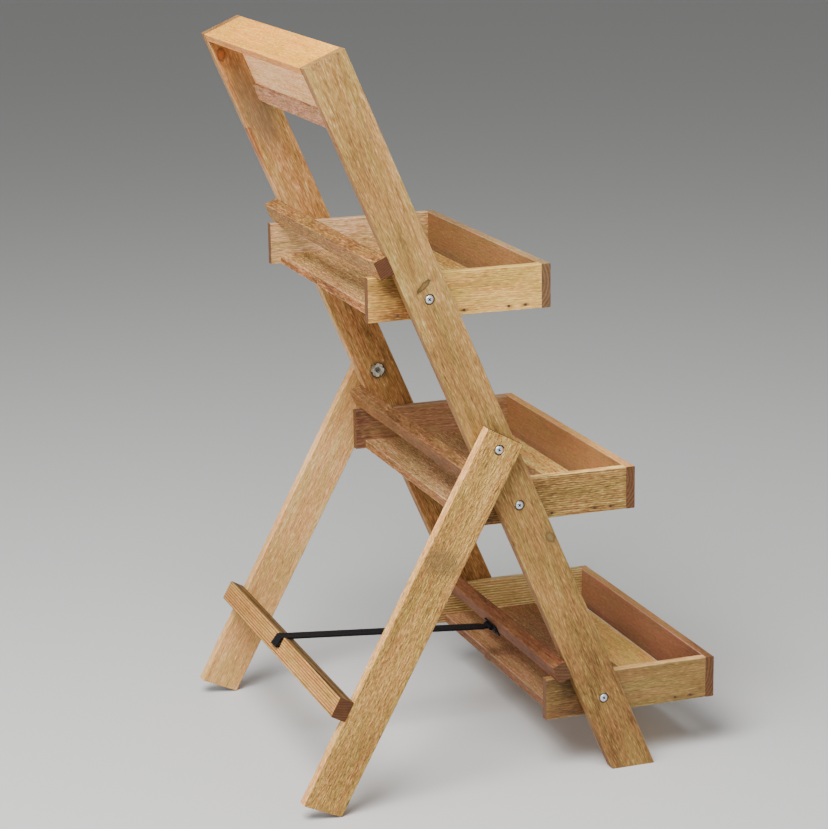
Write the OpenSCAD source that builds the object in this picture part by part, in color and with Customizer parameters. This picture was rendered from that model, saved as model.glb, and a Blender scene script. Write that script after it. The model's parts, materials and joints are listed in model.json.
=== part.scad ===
// Folding plant ladder stand: two leaning stiles carry three tilting trays,
// and a pair of rear legs is held open by a hinged steel stay.
// Millimetres, +Z up, front towards -Y. The origin is on the floor, in the middle of the outline.

/* [Front frame] */
// Clear width between the two stiles
frame_inner_w = 422; // [300:1:600]
// Width of a stile, seen from the side
stile_w = 55; // [46:1:70]
// Thickness of a stile
stile_t = 18; // [14:0.5:26]
// Length of a stile along its middle, from the floor to its top
stile_len = 1016; // [960:1:1300]
// Lean of the stiles from upright, in degrees
lean = 23; // [16:0.5:27]

/* [Crossbars] */
// Height of the crossbars and the top rail
bar_w = 24; // [18:0.5:34]
// Thickness of the crossbars and the top rail
bar_t = 18; // [14:0.5:24]

/* [Top] */
// Thickness of the top cap
cap_t = 10; // [8:0.5:18]
// Thickness of the panel below the cap
panel_t = 8; // [5:0.5:12]
// Height of the panel
panel_h = 79; // [40:1:120]
// From the middle of the stiles forward to the middle of the panel and its rail
panel_fwd = 12.5; // [0:0.5:14]

/* [Trays] */
// From the floor up a stile to the lowest tray's bolt
tray_first = 108; // [95:1:140]
// From one tray's bolt to the next, along the stile
tray_pitch = 294; // [260:1:310]
// From the bolts forward to the front board
tray_front_reach = 153; // [110:1:190]
// From the crossbar's stopping edge back to the rear ends of the side boards
tray_tail = 10.8; // [4:0.1:16]
// Height of the tray boards
tray_h = 55; // [50:1:60]
// From the lower edge of a side board up to its bolt
tray_bolt_h = 27; // [24:0.5:33]
// Thickness of the side boards and the front board
tray_board_t = 12; // [10:0.5:15]
// Thickness of the tray floor
tray_floor_t = 12; // [6:0.5:14]
// Space between a stile and a tray, where the washer sits
tray_gap = 1.2; // [1.2:0.1:3]
// From the ends of the side boards to the edges of the floor
floor_set_in = 13.5; // [4:0.5:20]
// Open seam between the two floor boards
floor_seam_w = 2.5; // [1:0.5:6]
// Width of the narrow front floor board of the bottom tray
floor_strip_bottom = 57; // [36:1:80]
// Width of the narrow front floor board of the middle tray
floor_strip_middle = 38; // [36:1:80]
// Width of the narrow front floor board of the top tray
floor_strip_top = 38; // [36:1:80]

/* [Rear legs] */
// Width of a rear leg, seen from the side
leg_w = 54; // [44:1:60]
// Thickness of a rear leg
leg_t = 16; // [14:0.5:26]
// From the floor up a stile to the leg bolt
leg_pivot = 488; // [470:1:510]
// Spread of the legs from upright, in degrees
leg_spread = 28.5; // [24:0.1:34]
// From the leg bolt to the square top end of a leg
leg_top = 18; // [16:1:40]
// Slope of the foot away from a square cut, in degrees
foot_cut = 4; // [0:0.5:15]
// Space between a stile and a leg, where the washer sits
leg_gap = 2; // [1.2:0.1:3]
// From the leg bolt down to the upper edge of the rear batten
batten_reach = 357; // [340:1:363]
// Height of the rear batten
batten_w = 27; // [20:0.5:36]
// Thickness of the rear batten
batten_t = 20; // [15:0.5:24]

/* [Stay] */
// Width of the steel stay
stay_w = 20; // [14:1:26]
// Thickness of the steel stay
stay_t = 2.5; // [2:0.5:4]
// From the middle of the stand to the middle of the stay
stay_x = 2; // [-40:1:40]
// Length of the hook that is bent down behind the batten
hook_len = 14; // [8:1:20]
// Bend of the hook, in degrees
hook_bend = 57; // [40:1:62]
// Depth of the notch under the stay
notch_d = 4; // [3:0.5:8]
// Depth of the recess behind the hook
recess_d = 2; // [1:0.5:4]
// Height of the recess behind the hook
recess_h = 16; // [14:0.5:20]
// Width of the bracket plate
plate_w = 40; // [38:1:60]
// Height of the bracket plate
plate_h = 15; // [11:0.5:20]
// Thickness of the bracket plate and its ears
plate_t = 2; // [1.5:0.5:3]
// Diameter of the stay's pin
pin_d = 3; // [2.5:0.5:5]

/* [Hardware] */
// Diameter of the pivot bolts
bolt_d = 6; // [5:0.5:8]
// Diameter of a bolt head
head_d = 12; // [10:0.5:14]
// Height of a bolt head
head_h = 3.8; // [3:0.2:5]
// Diameter of a threaded insert in a tray's side board
insert_d = 10; // [8.5:0.5:14]
// Length of a threaded insert
insert_len = 9; // [6:0.5:9.5]
// Diameter of a T-nut's flange
tnut_d = 19; // [16:0.5:22]
// Thickness of a T-nut's flange
tnut_t = 1.2; // [0.8:0.1:2]
// Diameter of a T-nut's barrel
barrel_d = 8.4; // [7.6:0.1:10]
// Length of a T-nut's barrel
barrel_len = 8.5; // [6:0.5:9]
// Diameter of a pivot washer
washer_d = 18; // [12:0.5:20]
// Diameter of a nail
nail_d = 1.8; // [1.4:0.1:2.6]
// Diameter of a nail's head
nail_head_d = 3.4; // [2.6:0.1:4.5]
// Length of a nail
nail_len = 32; // [24:1:36]
// Diameter of a bracket screw
screw_d = 3; // [2.5:0.5:4]
// Length of a bracket screw
screw_len = 14; // [8:1:16]

/* [Hidden] */
$fn = 48;

// Fits and small common sizes
run_fit = 0.08;      // radial clearance of a turning bolt or pin
seat_fit = 0.05;     // radial clearance of what stays put in its hole
washer_fit = 0.2;    // radial clearance of a washer on its bolt
face_fit = 0.1;      // clearance between a washer and the board that turns on it
stop_gap = 0.3;      // clearance at a stop
head_sink = 0.2;     // a bolt head lies this far below the wood
sink_wall = 0.9;     // ring of space round a sunk bolt head
ease = 1.5;          // eased long edges of the thick boards
thin_ease = 1;       // eased long edges of the thin boards
past = 1;            // a cut runs this far past a face
prong_w = 3;
prong_t = 1;
prong_len = 5;
prong_count = 4;
prong_set_in = 1.4;
tnut_recess_d = tnut_d + 2.6;
tnut_set_in = 2.5;   // a T-nut's outer face lies this far below the wood
insert_slot_w = 1.4;
insert_slot_depth = 1.6;
bolt_end = 1;        // a tray bolt ends this far past the side board
bolt_short = 2;      // a leg bolt ends this far inside its T-nut
tip_chamfer = 0.6;
dome_r = 2.4;
slot_w = 1.3;
slot_len = head_d * 0.42;
slot_depth = 2.2;
nail_head_t = 0.8;

// Widths across the stand, from the middle outward
stile_in = frame_inner_w / 2;
stile_out = stile_in + stile_t;
leg_in = stile_out + leg_gap;
leg_out = leg_in + leg_t;
side_out = stile_in - tray_gap;
side_in = side_out - tray_board_t;

// A point (y, z) given by its distance behind the middle of the stile and its distance up the stile
function stile_point(back, up) =
    [back * cos(lean) + up * sin(lean), -back * sin(lean) + up * cos(lean)];
// A point (y, z) given by its distance behind the middle of the leg and its distance above the leg bolt
function leg_point(back, up) =
    pivot_yz + [back * cos(leg_spread) - up * sin(leg_spread), back * sin(leg_spread) + up * cos(leg_spread)];

pivot_yz = stile_point(0, leg_pivot);
leg_front_len = (pivot_yz[1] - leg_w / 2 * sin(leg_spread)) / cos(leg_spread);
leg_rear_len = leg_front_len + leg_w * tan(foot_cut);

// Trays: bolt heights along the stile, bottom to top
tray_at = [tray_first, tray_first + tray_pitch, tray_first + 2 * tray_pitch];
tray_strip = [floor_strip_bottom, floor_strip_middle, floor_strip_top];
tray_top_h = tray_h - tray_bolt_h;
floor_front = -tray_front_reach + floor_set_in;
floor_nails_from_front = [8, 30];
floor_nails_after_seam = 48;
floor_nail_from_rear = 24;
front_nail_up = 15;

// A crossbar's lower rear corner, eased, stops the top edges of its tray's side boards
crossbar_back = stile_w / 2 + bar_t;
corner_lift = ease * (sin(lean) + cos(lean) - 1);
crossbar_up = (tray_top_h + stop_gap - corner_lift + crossbar_back * sin(lean)) / cos(lean);
tray_rear_reach = crossbar_back * cos(lean) + crossbar_up * sin(lean) + tray_tail;
floor_rear = tray_rear_reach - floor_set_in;

// Top: cap between the stile ends, then the panel, then the rail
cap_base = stile_len - cap_t;
rail_base = cap_base - panel_h - bar_w;
cap_nail_back = [17, 9, -5, -15];
rail_nail_up = 7;

// The stay's pin, on a bracket on the bottom crossbar
eye_to_plate = 1.8;
pin_off = plate_t + pin_d / 2 + eye_to_plate;
eye_wall = 1.6;
eye_r = pin_d / 2 + eye_wall;
eye_w = stay_w - 6;
ear_gap = 0.4;
pin_up = 7;
plate_drop = 0.3 * plate_h;
screw_x = plate_w / 2 - 5;
screw_head_d = 5.6;
screw_head_h = 1.8;
pin_head_d = pin_d + 2.4;
pin_head_t = 1.2;
pin_yz = stile_point(crossbar_back + pin_off, tray_at[0] + crossbar_up + pin_up);
// The seat of the stay: the floor of the notch at the batten's rear face
seat_yz = leg_point(leg_w / 2 + batten_t, -batten_reach - notch_d);
seat_run = norm(seat_yz - pin_yz);
knee_past = 1.2;
stay_rise = atan2(seat_yz[1] - pin_yz[1], seat_yz[0] - pin_yz[0]) + asin((stay_t / 2 + stop_gap) / seat_run);
stay_len = seat_run + knee_past;
neck_start = eye_r + 4;
neck_len = 3;
notch_slope = leg_spread - stay_rise;
notch_w = stay_w + 3;

// The outline's front and rear ends, and its middle
outline_front = stile_point(0, tray_at[0])[0] - tray_front_reach - tray_board_t;
outline_rear = leg_point(leg_w / 2, -leg_rear_len)[0];
mid_y = (outline_front + outline_rear) / 2;

pine = [0.80, 0.63, 0.42];
pine_warm = [0.74, 0.55, 0.34];
pine_shade = [0.62, 0.42, 0.26];
pine_pale = [0.84, 0.75, 0.66];
zinc = [0.80, 0.81, 0.82];
black_steel = [0.08, 0.08, 0.09];
nail_steel = [0.35, 0.28, 0.22];

// ---- frames of reference ----

// x across, y back from the middle of the stiles, z up the stiles
module stile_frame() {
    translate([0, -mid_y, 0]) rotate([-lean, 0, 0]) children();
}

// x across, y back from the middle of the legs, z up the legs from their bolts
module leg_frame() {
    translate([0, pivot_yz[0] - mid_y, pivot_yz[1]]) rotate([leg_spread, 0, 0]) children();
}

// x across, y back and z up from tray number i's bolts
module tray_frame(i) {
    bolt_yz = stile_point(0, tray_at[i]);
    translate([0, bolt_yz[0] - mid_y, bolt_yz[1]]) children();
}

// x across, y along the stay from its pin, z square to it
module stay_frame() {
    translate([stay_x, pin_yz[0] - mid_y, pin_yz[1]]) rotate([stay_rise, 0, 0]) children();
}

// The same piece on the right (1) or on the left (-1)
module on_side(side) {
    if (side < 0) mirror([1, 0, 0]) children();
    else children();
}

// ---- shapes that repeat ----

// A rectangle about the origin with eased corners
module eased_section(w, t, r) {
    corners = [[1, 1, 0], [-1, 1, 90], [-1, -1, 180], [1, -1, 270]];
    polygon([for (c = corners) for (a = [0, 30, 60, 90])
        [c[0] * (w / 2 - r) + r * cos(c[2] + a), c[1] * (t / 2 - r) + r * sin(c[2] + a)]]);
}

// A board along Z with eased long edges: w along X, t along Y
module upright_board(w, t, length, r) {
    linear_extrude(length) eased_section(w, t, r);
}

// A board along X, from x = 0 either way: t along Y, h along Z, centred on both
module cross_board(length, t, h, r) {
    translate([-length / 2, 0, 0]) rotate([90, 0, 90]) upright_board(t, h, length, r);
}

// A side outline (y, z) made thick across x, from x0 to x1
module side_plate(x0, x1, points) {
    translate([x0, 0, 0]) rotate([90, 0, 90]) linear_extrude(x1 - x0) polygon(points);
}

// A bolt whose head stands on z = 0, with its shank going down
module bolt(length) {
    dome = [for (a = [0:15:90]) [head_d / 2 - dome_r + dome_r * cos(a), head_h - dome_r + dome_r * sin(a)]];
    difference() {
        union() {
            rotate_extrude() polygon(concat([[0, 0], [head_d / 2, 0]], dome, [[0, head_h]]));
            translate([0, 0, -length + tip_chamfer]) cylinder(r = bolt_d / 2, h = length - tip_chamfer);
            translate([0, 0, -length])
                cylinder(r1 = bolt_d / 2 - tip_chamfer, r2 = bolt_d / 2, h = tip_chamfer);
        }
        for (turn = [45, 135]) rotate([0, 0, turn])
            translate([-slot_len / 2, -slot_w / 2, head_h - slot_depth])
                cube([slot_len, slot_w, slot_depth + past]);
    }
}

// The hole for a turning bolt, with a sinking for its head; the wood's face is at z = 0
module bolt_hole(length) {
    translate([0, 0, -length]) cylinder(r = bolt_d / 2 + run_fit, h = length);
    translate([0, 0, -head_h - head_sink]) cylinder(r = head_d / 2 + sink_wall, h = head_h + head_sink + past);
}

// A T-nut whose flange lies under z = 0, with its barrel and prongs going down
module tnut() {
    difference() {
        union() {
            translate([0, 0, -tnut_t]) cylinder(r = tnut_d / 2, h = tnut_t);
            translate([0, 0, -tnut_t - barrel_len]) cylinder(r = barrel_d / 2, h = barrel_len);
            prongs(0);
        }
        translate([0, 0, -tnut_t - barrel_len - past])
            cylinder(r = bolt_d / 2 + seat_fit, h = tnut_t + barrel_len + 2 * past);
        for (i = [0:prong_count - 1]) rotate([0, 0, i * 360 / prong_count])
            translate([tnut_d / 2 - prong_set_in, -prong_w / 2, -tnut_t - past])
                cube([tnut_d, prong_w, tnut_t + 2 * past]);
    }
}

// The bent prongs of a T-nut, or their slots in the wood
module prongs(fit) {
    for (i = [0:prong_count - 1]) rotate([0, 0, i * 360 / prong_count])
        translate([tnut_d / 2 - prong_set_in - prong_t - fit, -prong_w / 2 - fit, -tnut_t - prong_len - fit])
            cube([prong_t + 2 * fit, prong_w + 2 * fit, prong_len + fit + tnut_t / 2]);
}

// The wood that a T-nut takes out; the flange's outer face is at z = 0
module tnut_hole() {
    translate([0, 0, -tnut_t - barrel_len - seat_fit])
        cylinder(r = barrel_d / 2 + seat_fit, h = barrel_len + tnut_t);
    prongs(seat_fit);
}

// A threaded insert from z = 0 up, with a driving slot across its lower face
module threaded_insert() {
    difference() {
        cylinder(r = insert_d / 2, h = insert_len);
        translate([0, 0, -past]) cylinder(r = bolt_d / 2 + seat_fit, h = insert_len + 2 * past);
        translate([-insert_d / 2 - past, -insert_slot_w / 2, -past])
            cube([insert_d + 2 * past, insert_slot_w, insert_slot_depth + past]);
    }
}

// A washer lying on z = 0
module washer(t) {
    difference() {
        cylinder(r = washer_d / 2, h = t);
        translate([0, 0, -past]) cylinder(r = bolt_d / 2 + washer_fit, h = t + 2 * past);
    }
}

// A nail whose head is flush with z = 0, going down; fit widens it into its hole
module nail(length, fit = 0) {
    top = fit > 0 ? past : 0;
    translate([0, 0, -nail_head_t - fit]) cylinder(r = nail_head_d / 2 + fit, h = nail_head_t + fit + top, $fn = 24);
    translate([0, 0, -length - fit]) cylinder(r = nail_d / 2 + fit, h = length, $fn = 24);
}

// ---- front frame ----

// Places of the nails that go in through the face of a stile: [back, up]
function cap_nail_places() = [for (b = cap_nail_back) [b, cap_base + cap_t / 2]];
function panel_nail_places() = [for (k = [0.25, 0.75]) [-panel_fwd, rail_base + bar_w + k * panel_h]];
function rail_nail_places() = [for (u = [-1, 1]) [-panel_fwd, rail_base + bar_w / 2 + u * rail_nail_up]];

// Nails in through the outer face of the right stile
module face_nails(places, fit = 0) {
    for (p = places) translate([stile_out, p[0], p[1]]) rotate([0, 90, 0]) nail(nail_len, fit);
}

// Nails in through the rear face of a crossbar, at the right stile
module crossbar_nail_pair(i, fit = 0) {
    for (u = [-1, 1])
        translate([stile_in + stile_t / 2 + u * stile_t / 5, crossbar_back,
            tray_at[i] + crossbar_up + bar_w / 2 + u * bar_w / 5])
            rotate([-90, 0, 0]) nail(nail_len, fit);
}

module stile(side) {
    half = stile_w / 2;
    reach = stile_w * tan(lean);
    outline = [[-half, -half * tan(lean)], [half, half * tan(lean)], [half, stile_len], [-half, stile_len]];
    stile_frame() on_side(side) difference() {
        intersection() {
            translate([stile_in + stile_t / 2, 0, -reach])
                upright_board(stile_t, stile_w, stile_len + reach + past, ease);
            side_plate(stile_in - past, stile_out + past, outline);
        }
        for (at = tray_at) translate([stile_out, 0, at])
            rotate([0, 90, 0]) bolt_hole(stile_t + past);
        translate([stile_in, 0, leg_pivot]) rotate([0, -90, 0]) {
            translate([0, 0, -stile_t - past]) cylinder(r = bolt_d / 2 + seat_fit, h = stile_t + 2 * past);
            translate([0, 0, -tnut_set_in - tnut_t])
                cylinder(r = tnut_recess_d / 2, h = tnut_set_in + tnut_t + past);
            translate([0, 0, -tnut_set_in]) tnut_hole();
        }
        face_nails(cap_nail_places(), seat_fit);
        face_nails(panel_nail_places(), seat_fit);
        face_nails(rail_nail_places(), seat_fit);
        for (i = [0:2]) crossbar_nail_pair(i, seat_fit);
    }
}

module stile_left() {
    color(pine) stile(-1);
}

module stile_right() {
    color(pine_warm) stile(1);
}

module top_cap() {
    color(pine) stile_frame() difference() {
        translate([0, 0, cap_base + cap_t / 2]) cross_board(frame_inner_w, stile_w, cap_t, thin_ease);
        for (side = [-1, 1]) on_side(side) face_nails(cap_nail_places(), seat_fit);
    }
}

module top_panel() {
    color(pine_pale) stile_frame() difference() {
        translate([-frame_inner_w / 2, -panel_fwd - panel_t / 2, rail_base + bar_w])
            cube([frame_inner_w, panel_t, panel_h]);
        for (side = [-1, 1]) on_side(side) face_nails(panel_nail_places(), seat_fit);
    }
}

module top_rail() {
    color(pine_shade) stile_frame() difference() {
        translate([0, -panel_fwd, rail_base + bar_w / 2])
            cross_board(frame_inner_w, bar_t, bar_w, ease);
        for (side = [-1, 1]) on_side(side) face_nails(rail_nail_places(), seat_fit);
    }
}

module crossbar(i) {
    stile_frame() difference() {
        translate([0, stile_w / 2 + bar_t / 2, tray_at[i] + crossbar_up + bar_w / 2])
            cross_board(2 * stile_out, bar_t, bar_w, ease);
        for (side = [-1, 1]) on_side(side) crossbar_nail_pair(i, seat_fit);
        if (i == 0) bracket_screws(seat_fit);
    }
}

module crossbar_top() {
    color(pine_warm) crossbar(2);
}

module crossbar_middle() {
    color(pine_shade) crossbar(1);
}

module crossbar_bottom() {
    color(pine_shade) crossbar(0);
}

module cap_nails() {
    color(nail_steel) stile_frame() for (side = [-1, 1]) on_side(side) face_nails(cap_nail_places());
}

module panel_nails() {
    color(nail_steel) stile_frame() for (side = [-1, 1]) on_side(side) face_nails(panel_nail_places());
}

module rail_nails() {
    color(nail_steel) stile_frame() for (side = [-1, 1]) on_side(side) face_nails(rail_nail_places());
}

module crossbar_nails() {
    color(nail_steel) stile_frame() for (side = [-1, 1]) on_side(side)
        for (i = [0:2]) crossbar_nail_pair(i);
}

// ---- rear legs ----

// Nails in through the rear face of the batten, at the right leg
module batten_nail_pair(fit = 0) {
    for (u = [-1, 1])
        translate([leg_in + leg_t / 2 + u * leg_t / 5, leg_w / 2 + batten_t,
            -batten_reach - batten_w / 2 + u * batten_w / 5])
            rotate([-90, 0, 0]) nail(nail_len, fit);
}

module rear_leg(side) {
    half = leg_w / 2;
    outline = [[-half, -leg_front_len], [half, -leg_rear_len], [half, leg_top], [-half, leg_top]];
    leg_frame() on_side(side) difference() {
        intersection() {
            translate([leg_in + leg_t / 2, 0, -leg_rear_len - past])
                upright_board(leg_t, leg_w, leg_rear_len + leg_top + 2 * past, ease);
            side_plate(leg_in - past, leg_out + past, outline);
        }
        translate([leg_out, 0, 0]) rotate([0, 90, 0]) bolt_hole(leg_t + past);
        batten_nail_pair(seat_fit);
    }
}

module rear_leg_left() {
    color(pine) rear_leg(-1);
}

module rear_leg_right() {
    color(pine_pale) rear_leg(1);
}

// The cut in the batten, seen from the side; its upper rear edge is at the origin
module notch_outline() {
    floor_at_recess = -notch_d + recess_d * tan(notch_slope);
    floor_end = -(notch_d + past) / tan(notch_slope);
    polygon([[past, past], [past, -recess_h], [-recess_d, -recess_h],
        [-recess_d, floor_at_recess], [floor_end, past]]);
}

module rear_batten() {
    color(pine_warm) leg_frame() difference() {
        translate([0, leg_w / 2 + batten_t / 2, -batten_reach - batten_w / 2])
            cross_board(2 * leg_out, batten_t, batten_w, ease);
        translate([stay_x - notch_w / 2, leg_w / 2 + batten_t, -batten_reach])
            rotate([90, 0, 90]) linear_extrude(notch_w) notch_outline();
        for (side = [-1, 1]) on_side(side) batten_nail_pair(seat_fit);
    }
}

module batten_nails() {
    color(nail_steel) leg_frame() for (side = [-1, 1]) on_side(side) batten_nail_pair();
}

module leg_bolts() {
    shank = leg_t + leg_gap + stile_t - head_h - head_sink - tnut_set_in - bolt_short;
    color(zinc) stile_frame() for (side = [-1, 1]) on_side(side)
        translate([leg_out - head_h - head_sink, 0, leg_pivot]) rotate([0, 90, 0]) bolt(shank);
}

module leg_tnuts() {
    color(zinc) stile_frame() for (side = [-1, 1]) on_side(side)
        translate([stile_in + tnut_set_in, 0, leg_pivot]) rotate([0, -90, 0]) tnut();
}

module leg_washers() {
    color(zinc) stile_frame() for (side = [-1, 1]) on_side(side)
        translate([stile_out, 0, leg_pivot]) rotate([0, 90, 0]) washer(leg_gap - face_fit);
}

// ---- stay ----

// The stay's side outline: a long flat with its hook, from the eye back
module stay_outline() {
    half = stay_t / 2;
    // the bend's inner and outer corners lie on its half angle
    bend_in = half * tan(hook_bend / 2);
    hook_dir = [cos(hook_bend), -sin(hook_bend)];
    hook_up = [sin(hook_bend), cos(hook_bend)];
    knee = [stay_len, 0];
    polygon([[0, half], [stay_len + bend_in, half],
        knee + hook_len * hook_dir + half * hook_up,
        knee + hook_len * hook_dir - half * hook_up,
        [stay_len - bend_in, -half], [0, -half]]);
}

module stay_strap() {
    color(black_steel) stay_frame() difference() {
        union() {
            rotate([0, 90, 0]) translate([0, 0, -eye_w / 2]) cylinder(r = eye_r, h = eye_w);
            intersection() {
                translate([-stay_w / 2, 0, 0]) rotate([90, 0, 90]) linear_extrude(stay_w) stay_outline();
                // seen from above, the stay is narrower at its eye
                translate([0, 0, -stay_len]) linear_extrude(2 * stay_len) polygon([
                    [-eye_w / 2, 0], [eye_w / 2, 0], [eye_w / 2, neck_start], [stay_w / 2, neck_start + neck_len],
                    [stay_w / 2, 2 * stay_len], [-stay_w / 2, 2 * stay_len],
                    [-stay_w / 2, neck_start + neck_len], [-eye_w / 2, neck_start]]);
            }
        }
        rotate([0, 90, 0]) translate([0, 0, -stay_w]) cylinder(r = pin_d / 2 + run_fit, h = 2 * stay_w);
    }
}

// x across the stay's middle, y back from the crossbar's rear face, z up the stiles from its lower edge
module bracket_frame() {
    translate([stay_x, crossbar_back, tray_at[0] + crossbar_up]) children();
}

module bracket_screws(fit = 0) {
    top = fit > 0 ? past : 0;
    bracket_frame() for (side = [-1, 1])
        translate([side * screw_x, plate_t, plate_h / 2 - plate_drop]) rotate([-90, 0, 0]) {
            cylinder(r = screw_head_d / 2, h = screw_head_h);
            translate([0, 0, -screw_len]) cylinder(r = screw_d / 2 + fit, h = screw_len + top);
        }
}

module stay_bracket() {
    ear_in = eye_w / 2 + ear_gap;
    color(black_steel) stile_frame() difference() {
        bracket_frame() {
            translate([-plate_w / 2, 0, -plate_drop]) cube([plate_w, plate_t, plate_h]);
            for (side = [-1, 1]) on_side(side) difference() {
                union() {
                    translate([ear_in, plate_t / 2, pin_up - eye_r])
                        cube([plate_t, pin_off - plate_t / 2, 2 * eye_r]);
                    translate([ear_in, pin_off, pin_up]) rotate([0, 90, 0]) cylinder(r = eye_r, h = plate_t);
                }
                translate([0, pin_off, pin_up]) rotate([0, 90, 0])
                    cylinder(r = pin_d / 2 + seat_fit, h = plate_w);
            }
        }
        bracket_frame() for (side = [-1, 1])
            translate([side * screw_x, -past, plate_h / 2 - plate_drop]) rotate([-90, 0, 0])
                cylinder(r = screw_d / 2 + seat_fit, h = plate_t + 2 * past);
    }
}

module stay_pin() {
    half = eye_w / 2 + ear_gap + plate_t;
    color(black_steel) stile_frame() bracket_frame() translate([0, pin_off, pin_up]) rotate([0, 90, 0]) {
        translate([0, 0, -half]) cylinder(r = pin_d / 2, h = 2 * half);
        for (end = [-half - pin_head_t, half]) translate([0, 0, end]) cylinder(r = pin_head_d / 2, h = pin_head_t);
    }
}

module stay_screws() {
    color(black_steel) stile_frame() bracket_screws();
}

// ---- trays ----

// Places of the nails along a side board, back from its bolt
function floor_nail_places(i) = concat(
    [for (d = floor_nails_from_front) floor_front + d],
    [floor_front + tray_strip[i] + floor_seam_w + floor_nails_after_seam, floor_rear - floor_nail_from_rear]);

// Nails in through the right side board into the floor
module floor_nails(i, fit = 0) {
    for (y = floor_nail_places(i)) translate([side_out, y, -tray_bolt_h + tray_floor_t / 2])
        rotate([0, 90, 0]) nail(nail_len, fit);
}

// Nails in through the front board into the end of the right side board
module front_nails(fit = 0) {
    for (u = [-1, 1])
        translate([side_out - tray_board_t / 2, -tray_front_reach - tray_board_t,
            tray_h / 2 - tray_bolt_h + u * front_nail_up])
            rotate([90, 0, 0]) nail(nail_len, fit);
}

module tray_side(i, side) {
    length = tray_front_reach + tray_rear_reach;
    mid_z = tray_h / 2 - tray_bolt_h;
    tray_frame(i) on_side(side) difference() {
        translate([side_in + tray_board_t / 2, tray_rear_reach, mid_z]) rotate([90, 0, 0])
            upright_board(tray_board_t, tray_h, length, thin_ease);
        translate([side_in - past, 0, 0]) rotate([0, 90, 0])
            cylinder(r = bolt_d / 2 + seat_fit, h = tray_board_t + 2 * past);
        translate([side_in - past, 0, 0]) rotate([0, 90, 0])
            cylinder(r = insert_d / 2 + seat_fit, h = insert_len + past);
        floor_nails(i, seat_fit);
        front_nails(seat_fit);
    }
}

module tray_front(i) {
    mid_z = tray_h / 2 - tray_bolt_h;
    tray_frame(i) difference() {
        translate([0, -tray_front_reach - tray_board_t / 2, mid_z])
            cross_board(2 * side_out, tray_board_t, tray_h, thin_ease);
        for (side = [-1, 1]) on_side(side) front_nails(seat_fit);
    }
}

// A floor board from y0 back to y1
module tray_floor(i, y0, y1) {
    tray_frame(i) difference() {
        translate([0, (y0 + y1) / 2, -tray_bolt_h + tray_floor_t / 2])
            cross_board(2 * side_in, y1 - y0, tray_floor_t, thin_ease);
        for (side = [-1, 1]) on_side(side) floor_nails(i, seat_fit);
    }
}

module tray_floor_front(i) {
    tray_floor(i, floor_front, floor_front + tray_strip[i]);
}

module tray_floor_rear(i) {
    tray_floor(i, floor_front + tray_strip[i] + floor_seam_w, floor_rear);
}

module tray_bolts(i) {
    shank = stile_t - head_h - head_sink + tray_gap + tray_board_t + bolt_end;
    tray_frame(i) for (side = [-1, 1]) on_side(side)
        translate([stile_out - head_h - head_sink, 0, 0]) rotate([0, 90, 0]) bolt(shank);
}

module tray_inserts(i) {
    tray_frame(i) for (side = [-1, 1]) on_side(side)
        translate([side_in, 0, 0]) rotate([0, 90, 0]) threaded_insert();
}

module tray_washers(i) {
    tray_frame(i) for (side = [-1, 1]) on_side(side)
        translate([side_out, 0, 0]) rotate([0, 90, 0]) washer(tray_gap - face_fit);
}

module tray_nails(i) {
    tray_frame(i) for (side = [-1, 1]) on_side(side) {
        floor_nails(i);
        front_nails();
    }
}

module tray_top_side_left() {
    color(pine) tray_side(2, -1);
}

module tray_top_side_right() {
    color(pine_pale) tray_side(2, 1);
}

module tray_top_front() {
    color(pine_shade) tray_front(2);
}

module tray_top_floor_front() {
    color(pine_warm) tray_floor_front(2);
}

module tray_top_floor_rear() {
    color(pine) tray_floor_rear(2);
}

module tray_top_bolts() {
    color(zinc) tray_bolts(2);
}

module tray_top_inserts() {
    color(zinc) tray_inserts(2);
}

module tray_top_washers() {
    color(zinc) tray_washers(2);
}

module tray_top_nails() {
    color(nail_steel) tray_nails(2);
}

module tray_middle_side_left() {
    color(pine) tray_side(1, -1);
}

module tray_middle_side_right() {
    color(pine_pale) tray_side(1, 1);
}

module tray_middle_front() {
    color(pine_shade) tray_front(1);
}

module tray_middle_floor_front() {
    color(pine_warm) tray_floor_front(1);
}

module tray_middle_floor_rear() {
    color(pine) tray_floor_rear(1);
}

module tray_middle_bolts() {
    color(zinc) tray_bolts(1);
}

module tray_middle_inserts() {
    color(zinc) tray_inserts(1);
}

module tray_middle_washers() {
    color(zinc) tray_washers(1);
}

module tray_middle_nails() {
    color(nail_steel) tray_nails(1);
}

module tray_bottom_side_left() {
    color(pine) tray_side(0, -1);
}

module tray_bottom_side_right() {
    color(pine_pale) tray_side(0, 1);
}

module tray_bottom_front() {
    color(pine_shade) tray_front(0);
}

module tray_bottom_floor_front() {
    color(pine_warm) tray_floor_front(0);
}

module tray_bottom_floor_rear() {
    color(pine) tray_floor_rear(0);
}

module tray_bottom_bolts() {
    color(zinc) tray_bolts(0);
}

module tray_bottom_inserts() {
    color(zinc) tray_inserts(0);
}

module tray_bottom_washers() {
    color(zinc) tray_washers(0);
}

module tray_bottom_nails() {
    color(nail_steel) tray_nails(0);
}

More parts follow.
